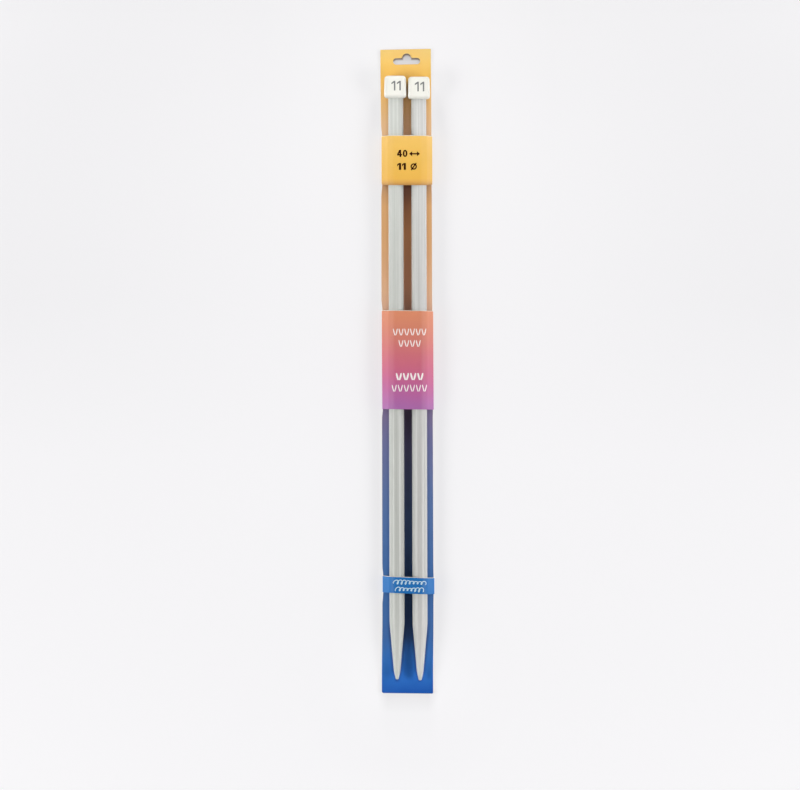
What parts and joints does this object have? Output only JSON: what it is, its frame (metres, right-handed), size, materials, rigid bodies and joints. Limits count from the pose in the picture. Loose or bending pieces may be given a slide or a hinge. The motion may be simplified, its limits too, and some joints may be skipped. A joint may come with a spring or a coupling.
{
  "type": "pair of knitting needles on a card",
  "caption": "Pair of straight plastic knitting needles with square end caps, held to a narrow hanging card by three paper bands they slide out of.",
  "frame": {"origin": "middle of the pack's footprint, on the surface that it lies on", "axes": "+Y along the pack towards the end caps and the hang hole, +Z out of the front of the card, +X to the right as the front is read"},
  "size_m": [0.0374, 0.443, 0.0169],
  "materials": {
    "card_print": "satin coated print, fading from yellow at the top through tan and slate to blue",
    "band_yellow": "satin coated print",
    "band_coral": "satin coated print, coral fading to purple",
    "band_blue": "satin coated print",
    "needle_grey": "satin",
    "cap_ivory": "satin"
  },
  "bodies": {
    "sleeve": {"back_card": "card_print", "top_band": "band_yellow", "middle_band": "band_coral", "bottom_band": "band_blue"},
    "left_needle": {"left_shaft": "needle_grey", "left_cap": "cap_ivory"},
    "right_needle": {"right_shaft": "needle_grey", "right_cap": "cap_ivory"}
  },
  "joints": [
    {"name": "left_needle_slide", "type": "slide", "parent": "sleeve", "child": "left_needle", "axis": [0, 1, 0.006], "range_m": [-0.024, 0.379]},
    {"name": "right_needle_slide", "type": "slide", "parent": "sleeve", "child": "right_needle", "axis": [0, 1, 0.006], "range_m": [-0.0233, 0.3797]}
  ]
}
